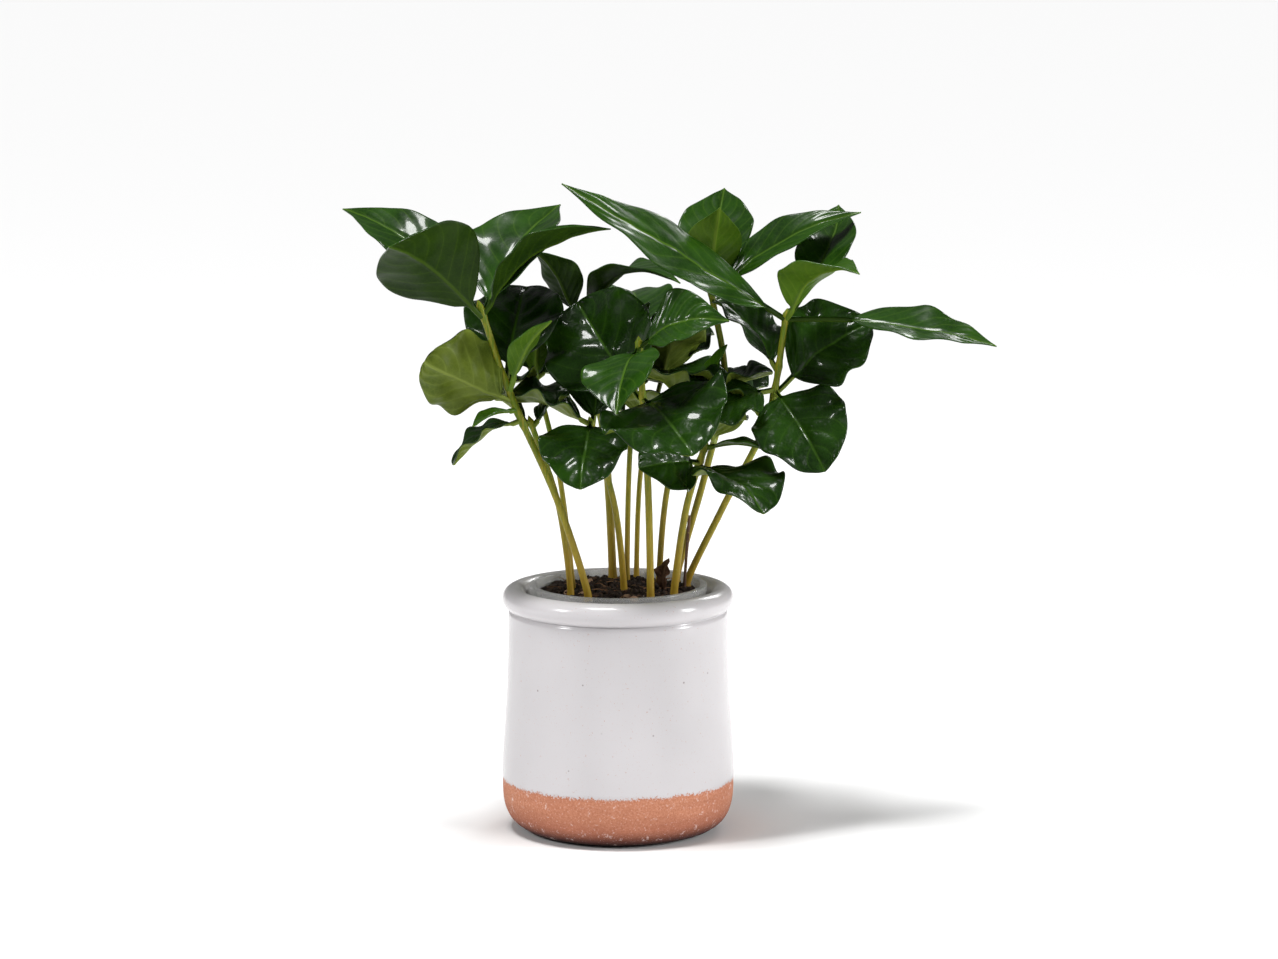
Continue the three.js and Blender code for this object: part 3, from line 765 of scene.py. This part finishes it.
green_wood = stem_finish("green_wood", (0.33, 0.185, 0.016), (0.10, 0.165, 0.004), (0.36, 0.27, 0.02), 0.45)
for seedling in SEEDLINGS:
    route = stem_route(seedling)
    joints = [leaf["at"] for leaf in seedling["leaves"]]
    places, radii = [], []
    for ring in range(STEM_RINGS + 1):
        share = ring / STEM_RINGS
        place = along(route, share)
        height = (place.z - soil_top) / MM
        swell = JOINT_SWELL * max(math.exp(-((height - joint) / JOINT_REACH) ** 2) for joint in joints)
        flare = FOOT_FLARE * math.exp(-max(height, 0) / FOOT_REACH)
        ripple = STEM_RIPPLE * noise.noise(Vector((height * 0.5, seedling["thick"] * 40, 0)))
        places.append(place)
        radii.append(stem_radius(seedling, share) * (1 + swell + flare + ripple))
    tip = (places[-1] - places[-2]).normalized()
    for reach, thickness in BUD:
        places.append(along(route, 1) + tip * reach * MM)
        radii.append(stem_radius(seedling, 1) * thickness)
    stem = rod(seedling["name"] + "_wood", places, radii)
    stem.data.materials.append(green_wood)
    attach(stem, "root")
    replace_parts(stem, seedling["name"] + "_stem")

# ---- Leaves ---------------------------------------------------------------------------------------
# Thin leathery blades with a waxy shine, puckered between side veins that curve to the tip. The midrib
# is a groove on top and a ridge underneath, and it becomes a short round stalk that meets the stem.
LEAF_THICKNESS = 0.42 * MM
STALK_GAP = 0.8 * MM
LEAF_COLUMNS = 64
LEAF_ROWS = 36
SEED_LEAF_WIDEST = 0.42
# A blade is shaped in millimetres. A stalk turns into blade while the outline is narrower than the
# blend's share of its widest, and the grip draws the stalk's end in towards the stem.
MIDRIB_DEPTH = 0.55
MIDRIB_HALF_WIDTH = 0.7
PUCKER_FROM_RIB = 2.2
MARGIN_RAGGED = 0.05
STALK_RADIUS = 0.75
STALK_WRAP = math.radians(150)
STALK_THINNING = 0.85
STALK_BLEND = 0.2
STALK_REACH = 0.3
GRIP_SHARE = 0.05
CURL_FROM = 0.15
CURL_PULL = 0.45


def round_outline(u):
    """A seed leaf's half width along it: widest before the middle, with a blunt round end."""
    if u < SEED_LEAF_WIDEST:
        return math.sin(math.pi / 2 * u / SEED_LEAF_WIDEST) ** 0.8
    return max(math.cos(math.pi / 2 * (u - SEED_LEAF_WIDEST) / (1 - SEED_LEAF_WIDEST)), 0) ** 0.5


OUTLINES = {
    "seed": round_outline,
    "true": lambda u: math.sin(math.pi * u ** 0.85) ** 1.15,
    "young": lambda u: math.sin(math.pi * u ** 0.85),
}
# Side veins to a leaf and how far they sweep to the tip; waves along a margin and their height's share
# of the width; and how many millimetres the puckers and the slow unevenness of the blade run.
HABITS = {
    "seed": dict(veins=5.5, sweep=0.42, waves=2.6, wave=0.06, pucker=0.46, bumpy=1.7),
    "true": dict(veins=7.5, sweep=0.30, waves=3.0, wave=0.025, pucker=0.20, bumpy=0.9),
    "young": dict(veins=8.0, sweep=0.30, waves=2.4, wave=0.03, pucker=0.12, bumpy=0.3),
}


def blade(name, finishes, seat, kind, length, width, heading, rise, roll=0, petiole=0.06, arch=0.1,
          fold=10, cup=0.1, sway=0, grip=1.3, **look):
    """One leaf as a closed thin shell: a flat grid bent to its outline, puckers and waves."""
    ways = {**HABITS[kind], **look}
    bpy.ops.object.select_all(action="DESELECT")
    bpy.ops.mesh.primitive_grid_add(x_subdivisions=LEAF_COLUMNS, y_subdivisions=LEAF_ROWS, size=2)
    leaf = bpy.context.object
    leaf.name = leaf.data.name = name
    mesh = leaf.data
    seed = sum(ord(letter) for letter in name) * 0.37
    bend = math.radians(fold)
    pattern = mesh.attributes.new("vein_space", "FLOAT_VECTOR", "POINT")
    for vertex in mesh.vertices:
        u, v = (1 - math.cos(math.pi * (vertex.co.x + 1) / 2)) / 2, vertex.co.y
        on_blade = max(u - petiole, 0) / (1 - petiole)
        spread = max(OUTLINES[kind](min(on_blade, 1)), 0)
        side = 1 if v > 0 else -1
        ragged = 1 + MARGIN_RAGGED * noise.noise(Vector((on_blade * 5, side * 3, seed)))
        narrow = STALK_RADIUS * (1 - STALK_THINNING * on_blade)
        half = narrow + spread * (width / 2 - narrow) * ragged
        edge = v * v * spread
        phase = 2 * math.pi * (on_blade * ways["waves"] + 0.23 * side + seed)
        wave = ways["wave"] * width * edge * math.sin(phase)
        vein = (on_blade - ways["sweep"] * abs(v) ** 1.25) * ways["veins"]
        across = min(abs(v) * half / PUCKER_FROM_RIB, 1) * min((1 - abs(v)) * 5, 1)
        pucker = ways["pucker"] * across * (abs(math.sin(math.pi * vein)) ** 0.7 - 0.5)
        midrib = -MIDRIB_DEPTH * math.exp(-(v * half / MIDRIB_HALF_WIDTH) ** 2) * min(spread * 4, 1)
        spot = Vector((u * length * 0.08, v * half * 0.08, seed))
        uneven = ways["bumpy"] * noise.fractal(spot, 1.1, 2.0, 2) * min(spread * 2, 1)
        bow = 4 * u * (1 - u)
        flat_y = v * half * math.cos(bend)
        flat_z = half * (abs(v) * math.sin(bend) + cup * v * v) + wave + pucker + midrib + uneven
        tube = 1 - min(spread / STALK_BLEND, 1) if on_blade < STALK_REACH else 0
        tube_y = STALK_RADIUS * math.sin(v * STALK_WRAP)
        tube_z = -STALK_RADIUS * math.cos(v * STALK_WRAP)
        x = u * length - grip * max(1 - u / GRIP_SHARE, 0)
        y = flat_y + tube * (tube_y - flat_y) + sway * length * bow
        z = flat_z + tube * (tube_z - flat_z) + arch * length * bow
        if "curl" in ways:
            lift = max(v * ways["curl_side"] - CURL_FROM, 0) * spread * half
            z += ways["curl"] * lift
            y -= ways["curl_side"] * CURL_PULL * abs(ways["curl"]) * lift
        vertex.co = Vector((x, y, z)) * MM
        pattern.data[vertex.index].vector = (vein, v * half, 0)
    lie = (Matrix.Translation(seat) @ Matrix.Rotation(math.radians(heading), 4, "Z")
           @ Matrix.Rotation(math.radians(-rise), 4, "Y") @ Matrix.Rotation(math.radians(roll), 4, "X"))
    mesh.transform(lie)
    for finish in finishes:
        mesh.materials.append(finish)
    shell = leaf.modifiers.new("thickness", "SOLIDIFY")
    shell.thickness = LEAF_THICKNESS
    shell.offset = 0
    shell.material_offset = 1
    bpy.ops.object.modifier_apply(modifier="thickness")
    bpy.ops.object.shade_smooth()
    return leaf


def leaf_skin(name, deep, light, rib, roughness, coat, coat_roughness, crinkle=0.2):
    """Waxy, softly creased leaf skin: mottled green, paler along its veins and the net between them."""
    material, tree, shader = new_material(name)
    place = node(tree, "ShaderNodeTexCoord").outputs["Object"]
    space = node(tree, "ShaderNodeAttribute", attribute_name="vein_space").outputs["Vector"]
    parts = node(tree, "ShaderNodeSeparateXYZ", i0=space).outputs
    tone = noise_on(tree, place, 70.0, 4.0, 0.6)
    colour = ramp(tree, tone, [(0.35, deep), (0.68, light)])
    to_vein = node(tree, "ShaderNodeMath", operation="PINGPONG", i0=parts["X"], i1=0.5).outputs[0]
    side_veins = ramp(tree, to_vein, [(0.010, grey(0.42)), (0.05, grey(0.10)), (0.2, grey(0))])
    off_rib = node(tree, "ShaderNodeMath", operation="ABSOLUTE", i0=parts["Y"]).outputs[0]
    midrib = ramp(tree, off_rib, [(0.30, grey(1)), (0.55, grey(0.25)), (0.85, grey(0))])
    net = node(tree, "ShaderNodeTexVoronoi", feature="DISTANCE_TO_EDGE", Scale=620.0, Vector=place)
    net_lines = ramp(tree, net.outputs["Distance"], [(0.02, grey(0.22)), (0.10, grey(0))])
    net_green = tuple((a + 2 * b) / 3 for a, b in zip(rib, light))
    veins = blend_colour(tree, 1.0, side_veins, midrib, "LIGHTEN")
    colour = blend_colour(tree, net_lines, colour, net_green)
    colour = blend_colour(tree, veins, colour, rib)
    tree.links.new(colour, shader.inputs["Base Color"])
    shader.inputs["Roughness"].default_value = roughness
    shader.inputs["Coat Weight"].default_value = coat
    shader.inputs["Coat Roughness"].default_value = coat_roughness
    shader.inputs["Specular IOR Level"].default_value = 0.10
    fine = blend_colour(tree, 0.6, net.outputs["Distance"], noise_on(tree, place, 420.0, 4.0, 0.6))
    creases = noise_on(tree, place, 280.0, 2.0, 0.5)
    relief(tree, shader, blend_colour(tree, 0.7, fine, creases), 0.9 * MM, crinkle)
    return material


skins = {
    "seed": (leaf_skin("seed_leaf_top", (0.0035, 0.016, 0.0006), (0.013, 0.046, 0.0024),
                       (0.030, 0.078, 0.006), 0.36, 0.30, 0.10, 0.75),
             leaf_skin("seed_leaf_under", (0.060, 0.092, 0.008), (0.135, 0.180, 0.020),
                       (0.18, 0.23, 0.04), 0.5, 0.05, 0.3)),
    "true": (leaf_skin("true_leaf_top", (0.006, 0.028, 0.0008), (0.019, 0.066, 0.0035),
                       (0.055, 0.12, 0.010), 0.36, 0.28, 0.11, 0.22),
             leaf_skin("true_leaf_under", (0.007, 0.022, 0.0005), (0.016, 0.040, 0.001),
                       (0.034, 0.070, 0.003), 0.5, 0.03, 0.28)),
    "young": (leaf_skin("young_leaf_top", (0.017, 0.062, 0.002), (0.036, 0.105, 0.004),
                        (0.085, 0.17, 0.012), 0.36, 0.32, 0.14),
              leaf_skin("young_leaf_under", (0.04, 0.095, 0.004), (0.065, 0.13, 0.008),
                        (0.11, 0.18, 0.016), 0.48, 0.08, 0.25)),
}

# Single leaves that differ from the rest of their kind.
ODD_LEAVES = {
    "far_left_seed_leaf_left": dict(curl=0.5, curl_side=1, bumpy=2.4, pucker=0.7),
    "far_right_top_leaf_front": dict(skin="young"),
    "right_rear_top_leaf_front": dict(skin="young"),
    "rear_mid_top_leaf_front": dict(bumpy=2.6, wave=0.12),
    "centre_front_top_leaf_right": dict(pucker=0.8),
    "mid_left_seed_leaf_back": dict(bumpy=1.6, pucker=0.9),
}


def grow(seedling, route, entry):
    """One leaf in its place on its stem, with its skins."""
    name = seedling["name"] + "_" + entry["name"]
    share = share_at(route, entry["at"])
    turn = math.radians(entry["heading"])
    away = stem_radius(seedling, share) + STALK_GAP
    seat = along(route, share) + Vector((math.cos(turn), math.sin(turn), 0)) * away
    shape = {key: value for key, value in entry.items() if key not in ("name", "at")}
    traits = dict(ODD_LEAVES.get(name, {}))
    finishes = skins[traits.pop("skin", entry["kind"])]
    leaf = blade(name + "_blade", finishes, seat, **shape, **traits)
    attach(leaf, "root")
    return leaf


for seedling in SEEDLINGS:
    route = stem_route(seedling)
    for entry in seedling["leaves"]:
        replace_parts(grow(seedling, route, entry), seedling["name"] + "_" + entry["name"])

# The same seedlings carry more leaves deep in the clump, and small ones opening at their tips.
INNER_LEAVES = {
    "rear_right": [
        dict(name="seed_leaf_back", kind="seed", at=70, heading=60, rise=30, length=27, width=27),
        dict(name="young_leaf_left", kind="young", at=71, heading=170, rise=62, length=14, width=7),
    ],
    "centre": [
        dict(name="seed_leaf_left", kind="seed", at=61, heading=200, rise=34, length=26, width=27),
        dict(name="seed_leaf_right", kind="seed", at=62, heading=-8, rise=30, length=25, width=26),
    ],
    "rear_mid": [
        dict(name="seed_leaf_left", kind="seed", at=57, heading=175, rise=24, length=24, width=26),
        dict(name="seed_leaf_right", kind="seed", at=58, heading=-60, rise=20, length=24, width=26),
    ],
    "rear_left": [
        dict(name="seed_leaf_front", kind="seed", at=60, heading=-60, rise=22, length=27, width=28),
    ],
    "right_rear": [
        dict(name="seed_leaf_left", kind="seed", at=57, heading=178, rise=26, length=34, width=34),
        dict(name="seed_leaf_front", kind="seed", at=50, heading=-100, rise=24, length=24, width=27),
    ],
    "mid_left": [
        dict(name="seed_leaf_left", kind="seed", at=59.5, heading=176, rise=14, length=31, width=33),
    ],
    "far_right": [
        dict(name="low_leaf_left", kind="seed", at=60, heading=166, rise=24, length=35, width=33),
    ],
    "left_rear": [
        dict(name="seed_leaf_left", kind="seed", at=70, heading=222, rise=-4, length=27, width=28),
        dict(name="young_leaf_up", kind="young", at=72.5, heading=-80, rise=70, length=15, width=8),
    ],
}
for seedling in SEEDLINGS:
    route = stem_route(seedling)
    for entry in INNER_LEAVES.get(seedling["name"], []):
        grow(seedling, route, entry)

# ---- Dead pieces ----------------------------------------------------------------------------------
# One seedling died back to a bare brown stick, and a leaf beside it dried and curled up on the soil.
dead_wood = stem_finish("dead_wood", (0.06, 0.030, 0.016), (0.10, 0.055, 0.03), (0.17, 0.10, 0.06), 0.8)
WITHERED = dict(thick=0.5, root=(0.9, -0.12), path=[(24, -1, 26)])
STICK_RINGS = 40
STICK_KNOTS = 0.35
route = stem_route(WITHERED)
places, radii = [], []
for ring in range(STICK_RINGS + 1):
    share = ring / STICK_RINGS
    knots = 1 + STICK_KNOTS * noise.noise(Vector((share * 14, 3, 0)))
    places.append(along(route, share))
    radii.append(stem_radius(WITHERED, share) * knots)
withered = rod("withered_stick", places, radii, sides=10)
withered.data.materials.append(dead_wood)
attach(withered, "root")
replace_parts(withered, "withered_stem")

dead_skin = leaf_skin("dead_leaf_skin", (0.028, 0.012, 0.007), (0.085, 0.042, 0.024), (0.13, 0.075, 0.045),
                      0.8, 0.0, 0.3, 0.5)
DRIED_ROOT = (0.62, -0.2)
DRIED_LIFT = 1.05 * MM
x, y = (share * PLANTING_RADIUS * MM for share in DRIED_ROOT)
seat = Vector((x, y, soil_top + DRIED_LIFT))
dried = blade("dried_leaf_curl", (dead_skin, dead_skin), seat, kind="young", length=11, width=5,
              heading=60, rise=72, arch=0.15, fold=20, wave=0.3, bumpy=1.6, grip=0)
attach(dried, "root")
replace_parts(dried, "dried_leaf")
